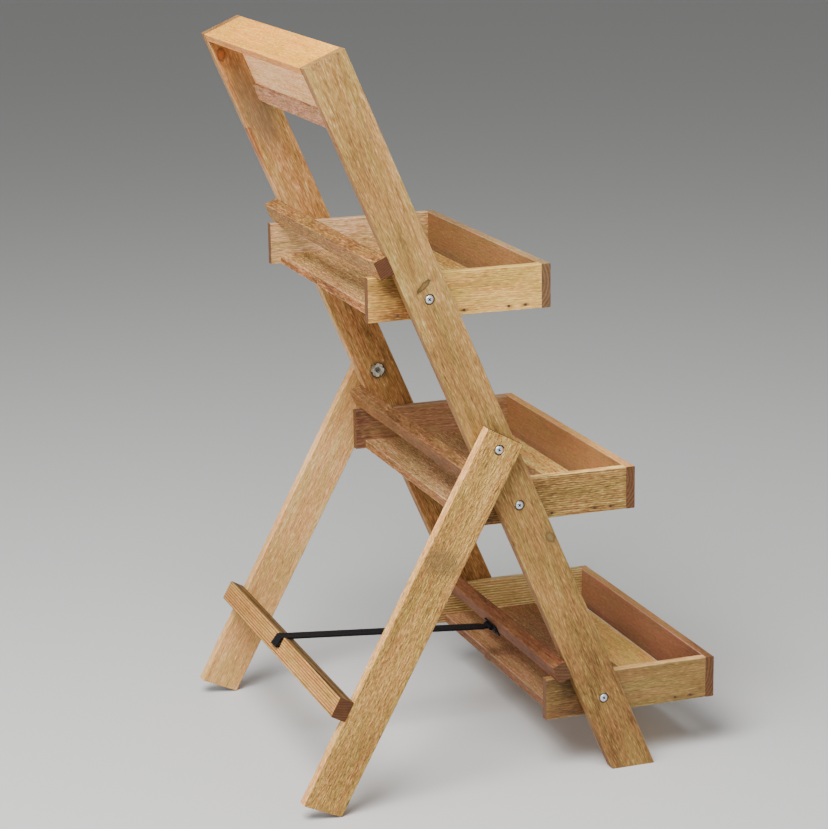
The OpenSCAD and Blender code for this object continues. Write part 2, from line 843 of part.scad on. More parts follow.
stile_left();
stile_right();
top_cap();
top_panel();
top_rail();
crossbar_top();
crossbar_middle();
crossbar_bottom();
cap_nails();
panel_nails();
rail_nails();
crossbar_nails();
leg_bolts();
leg_tnuts();
leg_washers();
stay_bracket();
stay_pin();
stay_screws();
stay_strap();
rear_leg_left();
rear_leg_right();
rear_batten();
batten_nails();
tray_top_side_left();
tray_top_side_right();
tray_top_front();
tray_top_floor_front();
tray_top_floor_rear();
tray_top_bolts();
tray_top_inserts();
tray_top_washers();
tray_top_nails();
tray_middle_side_left();
tray_middle_side_right();
tray_middle_front();
tray_middle_floor_front();
tray_middle_floor_rear();
tray_middle_bolts();
tray_middle_inserts();
tray_middle_washers();
tray_middle_nails();
tray_bottom_side_left();
tray_bottom_side_right();
tray_bottom_front();
tray_bottom_floor_front();
tray_bottom_floor_rear();
tray_bottom_bolts();
tray_bottom_inserts();
tray_bottom_washers();
tray_bottom_nails();
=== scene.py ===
"""Dresses the ladder-shaped plant stand: stained pine boards, zinc bolts and a black folding stay."""

import json
import math

import bmesh
import bpy
from mathutils import Matrix, Vector

bl_info = {
    "name": "Ladder plant stand",
    "version": (1, 0, 0),
    "blender": (4, 5, 0),
    "location": "3D View > Sidebar > Plant stand",
    "description": "Dresses a ladder-shaped plant stand in stained pine, zinc and black steel",
    "category": "Object",
}

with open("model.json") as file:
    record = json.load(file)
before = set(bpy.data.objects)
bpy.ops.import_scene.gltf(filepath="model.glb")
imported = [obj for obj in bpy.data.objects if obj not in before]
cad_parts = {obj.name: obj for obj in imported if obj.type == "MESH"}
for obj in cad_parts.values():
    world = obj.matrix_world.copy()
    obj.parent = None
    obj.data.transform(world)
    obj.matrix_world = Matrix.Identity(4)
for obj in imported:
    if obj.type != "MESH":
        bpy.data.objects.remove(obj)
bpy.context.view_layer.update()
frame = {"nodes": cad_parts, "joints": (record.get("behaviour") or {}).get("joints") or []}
NODES = frame["nodes"]
LEG_BOLT = next(joint["pos_m"] for joint in frame["joints"] if joint["name"] == "rear_legs_fold")

LEAN = math.radians(23)  # the stiles lean back by this much
LEG_SPREAD = math.radians(28.5)  # the rear legs lean forward by this much, with their feet at the rear

# ---- directions of a board: along its length, across its wide face, through its thickness ----

ACROSS = Vector((1, 0, 0))
UP_STILE = Vector((0, math.sin(LEAN), math.cos(LEAN)))
BACK_STILE = Vector((0, math.cos(LEAN), -math.sin(LEAN)))
UP_LEG = Vector((0, -math.sin(LEG_SPREAD), math.cos(LEG_SPREAD)))
BACK_LEG = Vector((0, math.cos(LEG_SPREAD), math.sin(LEG_SPREAD)))
LENGTHWISE = {
    "stile": (UP_STILE, BACK_STILE),
    "leg": (UP_LEG, BACK_LEG),
    "cap": (ACROSS, BACK_STILE),
    "bar": (ACROSS, UP_STILE),
    "batten": (ACROSS, UP_LEG),
    "side": (Vector((0, 1, 0)), Vector((0, 0, 1))),
    "front": (ACROSS, Vector((0, 0, 1))),
    "floor": (ACROSS, Vector((0, 1, 0))),
}


# ---- sizes and colours that a user may change ----


def colour(name, description, default):
    return bpy.props.FloatVectorProperty(
        name=name, description=description, default=default, size=3, min=0, max=1, subtype="COLOR"
    )


def share(name, description, default):
    return bpy.props.FloatProperty(
        name=name, description=description, default=default, min=0, max=1, subtype="FACTOR"
    )


def size(name, description, default):
    return bpy.props.FloatProperty(
        name=name, description=description, default=default, min=0, unit="LENGTH", subtype="DISTANCE"
    )


class StandWood(bpy.types.PropertyGroup):
    """Stained pine"""

    deep: colour("Deep brown", "Darkest lines of the grain", (0.12, 0.044, 0.014))
    brown: colour("Brown", "Dark side of the rings", (0.27, 0.120, 0.038))
    honey: colour("Honey", "Stained wood between the rings", (0.43, 0.208, 0.064))
    light: colour("Light", "Wood that took less stain", (0.585, 0.315, 0.112))
    # cream also colours the pale line along the eased edges, which is worn stain and a painted highlight
    cream: colour("Cream", "Wood where an edge has lost its stain", (0.80, 0.50, 0.245))
    end_grain: colour("End grain", "Sawn ends, which drink more stain", (0.075, 0.032, 0.014))
    ring_spacing: size("Ring spacing", "Distance from one year ring to the next", 0.0046)
    # the pale line along an eased edge is worn stain and a painted highlight
    edge_wear_and_highlight: size("Edge wear", "Width of the pale line along an eased edge", 0.0014)
    roughness: share("Roughness", "Roughness of the stained faces", 0.60)


class StandMetal(bpy.types.PropertyGroup):
    """Bolts, nails and the stay"""

    zinc: colour("Zinc", "Bolts, washers and nuts", (0.80, 0.85, 0.90))
    bright: colour("Bright zinc", "T-nuts", (0.86, 0.87, 0.68))
    zinc_roughness: share("Zinc roughness", "Roughness of the bright zinc", 0.30)
    black: colour("Black", "Paint of the stay and its bracket", (0.005, 0.005, 0.006))
    nail: colour("Nail", "Dark nail heads of the trays", (0.085, 0.055, 0.032))
    stained: colour("Stained nail", "Nail heads stained over with the wood", (0.28, 0.16, 0.075))


class StandStage(bpy.types.PropertyGroup):
    """Floor, light and camera"""

    floor: colour("Floor", "Plain floor", (0.60, 0.60, 0.59))
    floor_radius: size("Floor radius", "Half width of the floor", 14.0)
    lens: bpy.props.FloatProperty(
        name="Lens", description="Focal length", default=110.335, min=10, subtype="DISTANCE_CAMERA"
    )
    key_power: bpy.props.FloatProperty(
        name="Key light", description="Power of the large soft light above", default=185, min=0, unit="POWER"
    )
    fill_power: bpy.props.FloatProperty(
        name="Fill light", description="Power of the light from the front", default=16, min=0, unit="POWER"
    )
    rear_power: bpy.props.FloatProperty(
        name="Rear light", description="Power of the light behind the stand", default=55, min=0, unit="POWER"
    )
    sky: share("Sky", "Strength of the even light from all around", 0.26)


# ---- node building ----


class Graph:
    """Adds nodes to one node tree and joins them up."""

    def __init__(self, tree):
        self.tree = tree

    def put(self, socket, value):
        if isinstance(value, bpy.types.NodeSocket):
            self.tree.links.new(value, socket)
        elif value is not None:
            if socket.type == "RGBA" and len(value) == 3:
                value = (*value, 1)
            socket.default_value = value

    def node(self, kind, inputs=None, **settings):
        made = self.tree.nodes.new("ShaderNode" + kind)
        for key, value in settings.items():
            setattr(made, key, value)
        for key, value in (inputs or {}).items():
            self.put(made.inputs[key], value)
        return made

    def math(self, operation, a, b=None, c=None, clamp=False):
        made = self.node("Math", operation=operation, use_clamp=clamp)
        for socket, value in zip(made.inputs, (a, b, c)):
            self.put(socket, value)
        return made.outputs[0]

    def vector(self, operation, a, b=None, c=None, out=0):
        made = self.node("VectorMath", operation=operation)
        for socket, value in zip(made.inputs, (a, b, c)):
            self.put(socket, value)
        return made.outputs[out]

    def parts(self, value):
        return self.node("SeparateXYZ", {0: value}).outputs

    def joined(self, x, y, z):
        return self.node("CombineXYZ", {0: x, 1: y, 2: z}).outputs[0]

    def noise(self, vector, detail=2.0, roughness=0.5, scale=1.0):
        made = self.node(
            "TexNoise", {"Vector": vector, "Scale": scale, "Detail": detail, "Roughness": roughness}
        )
        return made.outputs

    def band(self, value, low, high, to_low=0.0, to_high=1.0, smooth=True):
        made = self.node("MapRange", interpolation_type="SMOOTHSTEP" if smooth else "LINEAR")
        for socket, given in zip(made.inputs, (value, low, high, to_low, to_high)):
            self.put(socket, given)
        return made.outputs[0]

    def ramp(self, value, stops):
        made = self.node("ValToRGB", {0: value})
        points = made.color_ramp.elements
        while len(points) < len(stops):
            points.new(0.5)
        for point, (at, shade) in zip(points, stops):
            point.position = at
            point.color = (*shade, 1) if hasattr(shade, "__len__") else (shade, shade, shade, 1)
        return made.outputs[0]

    def mix(self, amount, a, b, blend="MIX"):
        made = self.node("Mix", data_type="RGBA", blend_type=blend)
        self.put(made.inputs[0], amount)
        self.put(made.inputs[6], a)
        self.put(made.inputs[7], b)
        return made.outputs[2]


def new_group(name, inputs, outputs):
    """A shader node group with named sockets; returns its graph, its input sockets and its output node."""
    tree = bpy.data.node_groups.new(name, "ShaderNodeTree")
    for label, kind, default in inputs:
        made = tree.interface.new_socket(name=label, in_out="INPUT", socket_type="NodeSocket" + kind)
        made.default_value = default
    for label in outputs:
        tree.interface.new_socket(name=label, in_out="OUTPUT", socket_type="NodeSocketFloat")
    graph = Graph(tree)
    return graph, tree.nodes.new("NodeGroupInput").outputs, tree.nodes.new("NodeGroupOutput").inputs


def use_group(graph, name, inputs):
    made = graph.tree.nodes.new("ShaderNodeGroup")
    made.node_tree = bpy.data.node_groups[name]
    for key, value in inputs.items():
        graph.put(made.inputs[key], value)
    return made.outputs


# ---- shared effects ----


SEED_STEP = (3.7, 1.9, 2.3)  # how far one seed lies from the next in the noise


def seeded(graph, vector, seed, stretch):
    """The board's coordinates, moved to this board's own part of the noise.

    stretch is how many of the noise's marks fill a metre along the board, across it and through it.
    """
    moved = graph.vector("MULTIPLY_ADD", SEED_STEP, graph.joined(seed, seed, seed), vector)
    return graph.vector("MULTIPLY", moved, stretch)


# How dark the wood is from one year's start (0) to its end (1)
RING_PROFILE = [(0, 0.25), (0.15, 0.0), (0.5, 0.12), (0.8, 0.7), (0.92, 1.0), (1, 0.3)]
RIPPLE = 25.0  # years that the small ripples shift the rings by, for each metre of waver


def build_rings():
    """Year rings of a log whose pith runs beside or through the board."""
    g, given, result = new_group(
        "Pine rings",
        [
            ("Vector", "Vector", (0, 0, 0)),
            ("Pith", "Vector", (0, 0, -0.03)),
            ("Slope", "Vector", (0, 0, 0)),
            ("Spacing", "Float", 0.004),
            ("Waver", "Float", 0.022),
            ("Sharp", "Float", 1.0),
            ("Seed", "Float", 0.0),
            ("Bend", "Float", 0.0),
        ],
        ["Late", "Tone"],
    )
    along = g.parts(given["Vector"])[0]
    wander = g.noise(seeded(g, given["Vector"], given["Seed"], (1.6, 9, 9)), 1.5)["Color"]
    wander = g.vector("SUBTRACT", wander, (0.5, 0.5, 0.5))
    wander = g.vector("MULTIPLY", wander, g.joined(0.0, given["Waver"], given["Waver"]))
    axis = g.vector("MULTIPLY_ADD", given["Slope"], g.joined(along, along, along), given["Pith"])
    from_pith = g.vector("ADD", g.vector("SUBTRACT", given["Vector"], axis), wander)
    from_pith = g.vector("MULTIPLY", from_pith, (0, 1, 1))
    radius = g.vector("LENGTH", from_pith, out=1)
    ripple = g.noise(seeded(g, given["Vector"], given["Seed"], (24, 90, 90)), 2)["Fac"]
    phase = g.math("ADD", g.math("DIVIDE", radius, given["Spacing"]), given["Bend"])
    phase = g.math("MULTIPLY_ADD", ripple, g.math("MULTIPLY", given["Waver"], RIPPLE), phase)
    year = g.math("FLOOR", phase)
    own_year = g.math("MULTIPLY_ADD", given["Seed"], 7.3, year)
    tone = g.node("TexWhiteNoise", {"W": own_year}, noise_dimensions="1D")
    late = g.ramp(g.math("FRACT", phase), RING_PROFILE)
    strength = g.band(tone.outputs["Value"], 0, 1, 0.45, 1.0, smooth=False)
    g.put(result["Late"], g.math("MULTIPLY", g.math("POWER", late, given["Sharp"]), strength))
    g.put(result["Tone"], tone.outputs["Value"])


def build_fibres():
    """Fine fibres, short flecks, pale chips, long streaks and dark dashes along the board."""
    g, given, result = new_group(
        "Wood fibres", [("Vector", "Vector", (0, 0, 0)), ("Seed", "Float", 0.0)],
        ["Fine", "Fleck", "Chip", "Streak", "Dash"]
    )
    fine = g.noise(seeded(g, given["Vector"], given["Seed"], (30, 640, 640)), 3, 0.65)["Fac"]
    fleck = g.noise(seeded(g, given["Vector"], given["Seed"], (120, 640, 640)), 2, 0.6)["Fac"]
    streak = g.noise(seeded(g, given["Vector"], given["Seed"], (4.5, 110, 110)), 2.5, 0.55)["Fac"]
    dash = g.noise(seeded(g, given["Vector"], given["Seed"], (75, 800, 800)), 1)["Fac"]
    g.put(result["Fine"], g.band(fine, 0.28, 0.72, smooth=False))
    g.put(result["Fleck"], g.band(fleck, 0.28, 0.72, smooth=False))
    g.put(result["Chip"], g.band(fleck, 0.60, 0.72))
    g.put(result["Streak"], g.band(streak, 0.3, 0.7, smooth=False))
    g.put(result["Dash"], g.band(dash, 0.60, 0.72))


def build_patches():
    """Where the stain has soaked in more or less, and where it leans to pink or to green."""
    g, given, result = new_group(
        "Stain patches", [("Vector", "Vector", (0, 0, 0)), ("Seed", "Float", 0.0)], ["Wide", "Small", "Hue"]
    )
    wide = g.noise(seeded(g, given["Vector"], given["Seed"], (7, 26, 26)), 3, 0.55)["Fac"]
    small = g.noise(seeded(g, given["Vector"], given["Seed"], (44, 210, 210)), 3, 0.6)["Fac"]
    hue = g.noise(seeded(g, given["Vector"], given["Seed"], (-14, 90, 80)), 3, 0.6)["Fac"]
    g.put(result["Wide"], g.band(wide, 0.3, 0.7, smooth=False))
    g.put(result["Small"], g.band(small, 0.3, 0.7, smooth=False))
    g.put(result["Hue"], g.band(hue, 0.35, 0.65))


def build_edges():
    """Masks of a board's long edges, its upper or rear half, its sawn ends and its thin sides."""
    g, given, result = new_group(
        "Board edges",
        [
            ("Vector", "Vector", (0, 0, 0)),
            ("Normal", "Vector", (0, 0, 1)),
            ("Half Size", "Vector", (1, 1, 1)),
            ("Width", "Float", 0.003),
            ("Seed", "Float", 0.0),
        ],
        ["Edge", "High", "End", "Side"],
    )
    inside = g.parts(g.vector("SUBTRACT", given["Half Size"], g.vector("ABSOLUTE", given["Vector"])))
    facing = g.parts(g.vector("ABSOLUTE", given["Normal"]))
    ragged = g.noise(seeded(g, given["Vector"], given["Seed"], (38, 60, 60)), 3, 0.6)["Fac"]
    width = g.math("MULTIPLY", given["Width"], g.band(ragged, 0.3, 0.7, 0.6, 1.25, smooth=False))
    corner = g.math("MAXIMUM", inside[1], inside[2])
    # how strongly an edge shows its pale line of worn stain and painted highlight
    wear_and_highlight = g.band(ragged, 0.3, 0.62, 0.35, 1.0)
    near = g.band(g.math("DIVIDE", corner, width), 0.25, 1.25, 1.0, 0.0)
    g.put(result["Edge"], g.math("MULTIPLY", near, wear_and_highlight))
    g.put(result["High"], g.band(g.parts(given["Vector"])[1], -0.001, 0.001))
    g.put(result["End"], g.band(facing[0], 0.6, 0.75))
    g.put(result["Side"], g.band(facing[1], 0.6, 0.8))


def build_knot():
    """One knot: its heart, its darker tips, the stained halo, and how far it bends the rings."""
    g, given, result = new_group(
        "Knot",
        [
            ("Vector", "Vector", (0, 0, 0)),
            ("Centre", "Vector", (0, 0, 0)),
            ("Size", "Vector", (0.01, 0.005, 0.02)),
            ("Turn", "Float", 0.0),
        ],
        ["Heart", "Tip", "Halo", "Bend"],
    )
    away = g.vector("SUBTRACT", given["Vector"], given["Centre"])
    away = g.node("VectorRotate", {"Vector": away, "Axis": (0, 0, 1), "Angle": given["Turn"]}).outputs[0]
    away = g.vector("DIVIDE", away, given["Size"])
    ragged = g.noise(g.vector("MULTIPLY", given["Vector"], (220, 320, 320)), 3, 0.6)["Fac"]
    distance = g.math("MULTIPLY_ADD", g.math("SUBTRACT", ragged, 0.5), 1.0, g.vector("LENGTH", away, out=1))
    g.put(result["Heart"], g.band(distance, 0.75, 1.1, 1.0, 0.0))
    g.put(result["Tip"], g.band(distance, 0.3, 0.95))
    g.put(result["Halo"], g.band(distance, 0.9, 2.4, 1.0, 0.0))
    falloff = g.math("EXPONENT", g.math("MULTIPLY", g.math("MULTIPLY", distance, distance), -0.4))
    g.put(result["Bend"], g.math("MULTIPLY", falloff, 1.2))


def build_stain_spot():
    """A soft-edged stain, such as a nail leaves along the grain round its head."""
    g, given, result = new_group(
        "Stain spot",
        [
            ("Vector", "Vector", (0, 0, 0)),
            ("Centre", "Vector", (0, 0, 0)),
            ("Size", "Vector", (0.005, 0.002, 0.01)),
        ],
        ["Mask"],
    )
    away = g.vector("DIVIDE", g.vector("SUBTRACT", given["Vector"], given["Centre"]), given["Size"])
    ragged = g.noise(g.vector("MULTIPLY", given["Vector"], (160, 500, 500)), 2)["Fac"]
    distance = g.math("MULTIPLY_ADD", g.math("SUBTRACT", ragged, 0.5), 0.9, g.vector("LENGTH", away, out=1))
    g.put(result["Mask"], g.band(distance, 0.5, 1.35, 1.0, 0.0))


SAW_MARKS = 1400.0  # radians per metre along the board


def build_fuzz():
    """The short light and dark flecks and the saw's cross marks on rough-sawn wood."""
    g, given, result = new_group(
        "Sawn fuzz", [("Vector", "Vector", (0, 0, 0)), ("Seed", "Float", 0.0)], ["Fleck", "Height"]
    )
    fleck = g.noise(seeded(g, given["Vector"], given["Seed"], (150, 520, 520)), 3, 0.6)["Fac"]
    drift = g.noise(seeded(g, given["Vector"], given["Seed"], (30, 20, 20)), 1)["Fac"]
    along = g.parts(given["Vector"])[0]
    saw = g.math("SINE", g.math("MULTIPLY_ADD", along, SAW_MARKS, g.math("MULTIPLY", drift, 30.0)))
    raised = g.band(fleck, 0.3, 0.7, smooth=False)
    g.put(result["Fleck"], raised)
    g.put(result["Height"], g.math("MULTIPLY_ADD", saw, 0.10, raised))


def build_wear():
    """Dulling and fine scratches on metal."""
    g, given, result = new_group("Metal wear", [("Vector", "Vector", (0, 0, 0))], ["Dull", "Scratch"])
    dull = g.noise(g.vector("MULTIPLY", given["Vector"], (420, 420, 420)), 4, 0.6)["Fac"]
    scratch = g.noise(g.vector("MULTIPLY", given["Vector"], (2600, 700, 300)), 2, 0.6)["Fac"]
    g.put(result["Dull"], g.band(dull, 0.3, 0.7))
    g.put(result["Scratch"], g.band(scratch, 0.55, 0.72))


# Where the marks on the bolts and T-nuts begin and end
HEAD_RADIUS = 0.006
HEAD_RECESS_RADIUS = (0.0027, 0.0030)
HEAD_RECESS_TOP = (0.0002, 0.0005)
HEAD_RECESS_FLOOR = (0.0030, 0.0034)
SHANK_TIP = (0.028, 0.029)  # below the head's top
NUT_NOTCH = (0.0018, 0.0026)  # half width
NUT_LIP_RADIUS = (0.0050, 0.0068)
NUT_COLLAR_RADIUS = (0.0038, 0.0048)


def build_bolt_head():
    """The low dome of a bolt's head, the painted shade in its cross recess, and the far end of its shank,
    which takes painted shade inside the T-nut.
    """
    g, given, result = new_group(
        "Bolt head",
        [("Vector", "Vector", (0, 0, 0)), ("Axis", "Vector", (0, 0, 0)), ("Face", "Float", 0.2288)],
        ["Dome", "Recess", "Tip"],
    )
    away = g.vector("SUBTRACT", given["Vector"], given["Axis"])
    reach = g.vector("LENGTH", g.vector("MULTIPLY", away, (0, 1, 1)), out=1)
    share_out = g.math("DIVIDE", reach, HEAD_RADIUS)
    g.put(result["Dome"], g.math("SUBTRACT", 1.0, g.math("MULTIPLY", share_out, share_out)))
    depth = g.math("SUBTRACT", given["Face"], g.math("ABSOLUTE", g.parts(away)[0]))
    inside = g.math("MULTIPLY", g.band(depth, *HEAD_RECESS_TOP), g.band(depth, *HEAD_RECESS_FLOOR, 1.0, 0.0))
    g.put(result["Recess"], g.math("MULTIPLY", inside, g.band(reach, *HEAD_RECESS_RADIUS, 1.0, 0.0)))
    g.put(result["Tip"], g.band(depth, *SHANK_TIP))


def build_nut_flange():
    """The stamped relief of a T-nut's flange, the painted highlight on its lips and the painted shade round
    its barrel.
    """
    g, given, result = new_group(
        "Nut flange",
        [("Vector", "Vector", (0, 0, 0)), ("Axis", "Vector", (0, 0, 0))],
        ["Relief", "LipHighlight", "Shade"],
    )
    away = g.vector("MULTIPLY", g.vector("SUBTRACT", given["Vector"], given["Axis"]), (0, 1, 1))
    reach = g.vector("LENGTH", away, out=1)
    dents = g.noise(g.vector("MULTIPLY", given["Vector"], (200, 330, 330)), 3, 0.6)["Fac"]
    across = g.parts(g.vector("ABSOLUTE", away))
    on_axis = g.band(g.math("MINIMUM", across[1], across[2]), *NUT_NOTCH, 1.0, 0.0)
    ring = g.band(reach, *NUT_LIP_RADIUS)
    g.put(result["Relief"], g.band(dents, 0.3, 0.7))
    g.put(result["LipHighlight"], g.math("MULTIPLY", on_axis, ring))
    collar = g.band(reach, *NUT_COLLAR_RADIUS, 1.0, 0.0)
    g.put(result["Shade"], g.math("MULTIPLY", collar, g.band(dents, 0.35, 0.6, 0.4, 1.0)))


# ---- materials ----


def new_material(name):
    made = bpy.data.materials.new(name)
    made.use_nodes = True
    graph = Graph(made.node_tree)
    shader = made.node_tree.nodes["Principled BSDF"]
    return made, graph, shader


def dress(node, material):
    """Gives a CAD node its material."""
    data = NODES[node].data
    data.materials.clear()
    data.materials.append(material)


def board_place(node, kind):
    """Centre and half size of a board, and the matrix that turns it to lie along X."""
    along, wide = LENGTHWISE[kind]
    turn = Matrix((along, wide, along.cross(wide)))
    local = [turn @ v.co for v in NODES[node].data.vertices]
    low = Vector([min(p[i] for p in local) for i in range(3)])
    high = Vector([max(p[i] for p in local) for i in range(3)])
    return turn.transposed() @ ((low + high) / 2), (high - low) / 2, turn


def nail_spots(nails, board, side):
    """The stains round the nail heads in the outer face of a tray's left (-1) or right (1) board."""
    centre, _, turn = board_place(board, "side")
    points = [v.co for v in NODES[nails].data.vertices if v.co.x * side > 0]
    face = max(abs(p.x) for p in points)
    heads = {}
    for p in points:
        if face - abs(p.x) < FACE_SLACK:
            heads.setdefault(round(p.y / NAIL_APART), []).append(p)
    places = [sum(group, Vector()) / len(group) for group in heads.values() if len(group) > NAIL_CORNERS]
    return [(turn @ (place - centre), NAIL_STAIN, NAIL_SHADE, NAIL_STRENGTH) for place in places]


# What multiplies the stain's colours on each board: the board's own colour, and with it painted light and
# shade where a board lies lighter or darker in the light, such as the lower crossbars
TINTS = {
    "stile_left": (0.73, 0.84, 0.78),
    "stile_right": (0.92, 0.93, 0.91),
    "top_cap": (1.22, 1.01, 0.39),
    "top_panel": (1.44, 1.40, 1.56),
    "top_rail": (0.90, 0.83, 1.19),
    "crossbar_top": (0.75, 0.75, 0.71),
    "crossbar_middle": (0.59, 0.53, 0.54),
    "crossbar_bottom": (0.51, 0.39, 0.43),
    "rear_batten": (0.77, 0.74, 0.57),
    "rear_leg_left": (0.98, 1.10, 0.88),
    "rear_leg_right": (1.05, 1.15, 1.20),
    "tray_top_side_left": (1.20, 1.39, 1.07),
    "tray_top_side_right": (1.02, 1.22, 1.58),
    "tray_top_front": (0.60, 0.63, 0.73),
    "tray_top_floor_front": (0.79, 0.89, 0.65),
    "tray_top_floor_rear": (1.03, 1.14, 1.22),
    "tray_middle_side_left": (0.80, 0.98, 0.91),
    "tray_middle_side_right": (0.90, 1.00, 1.50),
    "tray_middle_front": (0.89, 0.91, 1.14),
    "tray_middle_floor_front": (2.17, 2.20, 1.89),
    "tray_middle_floor_rear": (0.95, 1.06, 1.34),
    "tray_bottom_side_left": (0.63, 0.77, 0.80),
    "tray_bottom_side_right": (1.36, 1.89, 2.20),
    "tray_bottom_front": (0.89, 0.87, 1.46),
    "tray_bottom_floor_front": (1.43, 1.70, 1.45),
    "tray_bottom_floor_rear": (0.71, 0.71, 0.98),
}

NAIL_STAIN = (0.005, 0.002, 0.010)  # half sizes of the stain round a nail head
NAIL_SHADE = (0.09, 0.042, 0.018)
NAIL_STRENGTH = 0.5
NAIL_APART = 0.01  # corners of a head lie nearer to each other than this
NAIL_CORNERS = 8  # a head has more corners than this
FACE_SLACK = 0.0001  # how far below the outer face a head's corners may lie

# What a board has unless its own operator says otherwise; lengths in metres, the rest as shares
GRAIN = {
    "tone": 0.0,  # above 0 is lighter
    "shades": (),  # added to the tone at even steps along the board, from its low end to its high end: partly the board's own tone, partly painted shade where other parts shade it
    "grit": 1.0,  # times the strength of all the fine marks
    "rings": 0.14,  # strength of the year rings
    "spacing": 1.0,  # times the wood's own ring spacing
    "waver": 0.022,  # how far the rings wander
    "sharp": 1.0,  # above 1 makes the rings' dark lines thinner
    "years": 0.5,  # share of the rings' strength with which whole years differ
    "pith": (0.012, -0.035),  # of the log's heart, across and below the board's middle
    "slope": (0.01, 0.02),  # of the log's heart against the board
    "fine": 0.34,  # fibres
    "fleck": 0.36,  # short flecks
    "chips": 0.17,  # pale chips
    "streak": 0.10,  # long streaks
    "patches": 0.20,  # uneven stain
    "dashes": 0.24,  # dark dashes
    "fuzz": 0.0,  # rough sawing
    "edges": (0.35, 0.35),  # strength of the pale line of worn stain and painted highlight along the low (front) and high (rear) edges
    "side": None,  # multiplies the colour of the thin sides: painted light on them above 1, painted shade below 1
    "ends": 1.0,  # how much of the end grain's dark shows on the ends
    "end_tint": (1, 1, 1),  # multiplies the colour of the ends
    "knots": (),  # place, radii, turn, colour of the heart and of its tips
    "spots": (),  # place, radii, colour and strength of a stain
    "bump": 0.35,  # strength of the relief
}

# Colours of a knot's heart and of its tips
DARK_KNOT = ((0.17, 0.090, 0.030), (0.018, 0.010, 0.004))
OLIVE_KNOT = ((0.22, 0.140, 0.050), (0.095, 0.058, 0.020))
RED_KNOT = ((0.36, 0.110, 0.028), (0.12, 0.040, 0.012))
HALO_STRENGTH = 0.28
HEART_STRENGTH = 0.85

MIDDLE_TONE = 0.55
TONE_STOPS = (0.0, 0.27, 0.5, 0.72, 1.0)  # from the deepest to the palest stain
SMALL_PATCHES = 0.6  # share of the wide patches' strength
SHADE_DRIFT = 0.06  # raggedness of a board's steps of tone and painted shade
PINK_STAIN = (1.07, 0.965, 1.0)
GREEN_STAIN = (0.96, 1.02, 0.92)
PALE_END_RING = 2.6  # times the colour of the end grain
END_BLOTCHES = 0.25
FIBRE_HEIGHT, RING_HEIGHT, SAWN_HEIGHT = 0.5, 0.4, 1.6
GRAIN_DEPTH = 0.0008
ROUGHNESS_SPREAD = (-0.07, 0.09)
RING_ROUGHNESS = -0.08
WOOD_SPECULAR = 0.22


